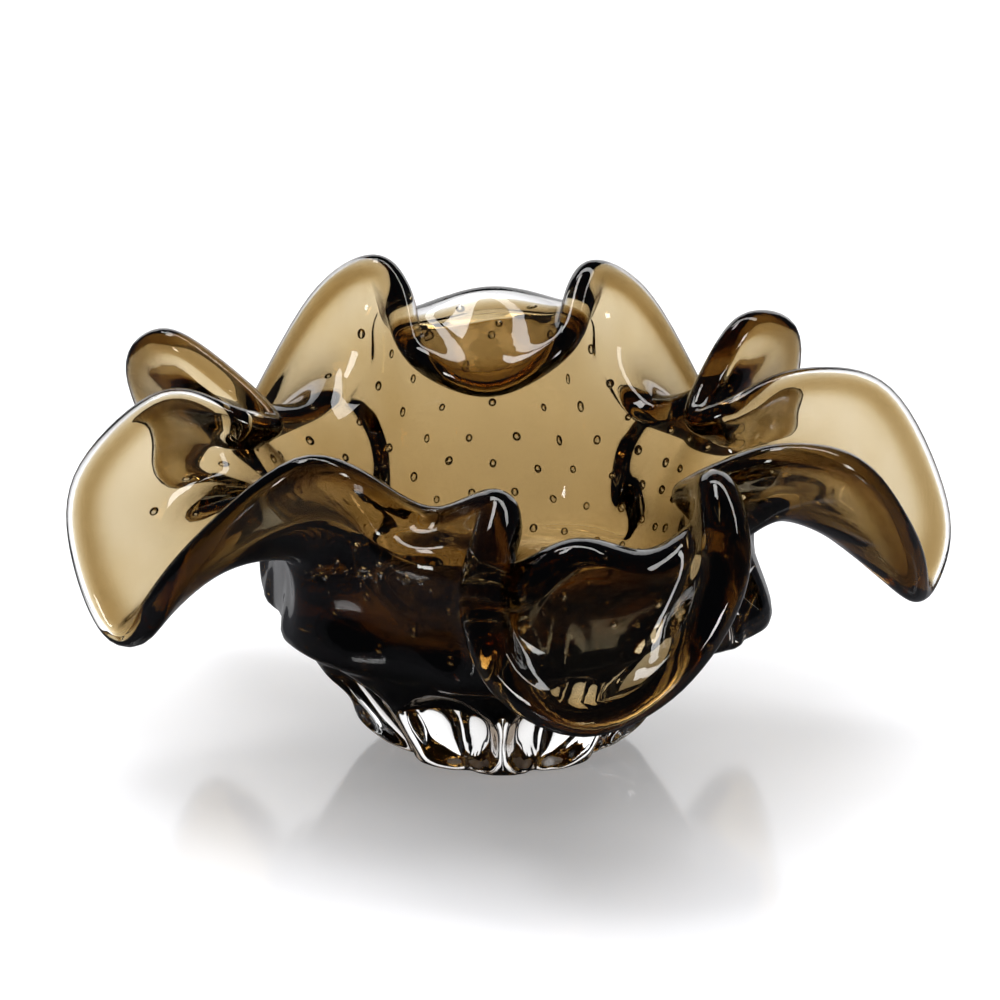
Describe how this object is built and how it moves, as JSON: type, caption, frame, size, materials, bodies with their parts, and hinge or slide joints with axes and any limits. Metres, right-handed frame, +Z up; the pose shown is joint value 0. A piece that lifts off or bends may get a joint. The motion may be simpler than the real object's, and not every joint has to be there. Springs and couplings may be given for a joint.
{
  "type": "art glass bowl",
  "caption": "Free-form ruffled art glass bowl: amber lining in thick clear casing, drooping lobes, inward folds and a dimpled clear base.",
  "frame": {"origin": "centre of the flat foot the bowl stands on", "axes": "+Z up through the bowl; -Y towards the front lobe's side, +X towards the right lobe"},
  "size_m": [0.2994, 0.2338, 0.1456],
  "materials": {
    "amber_glass": "fire-polished transparent smoky amber",
    "clear_glass": "fire-polished clear",
    "base_glass": "pressed dimples, fire-polished clear"
  },
  "bodies": {
    "root": {"amber_inner_gather": "amber_glass", "clear_outer_casing": "clear_glass", "clear_base_gather": "base_glass"}
  },
  "joints": []
}
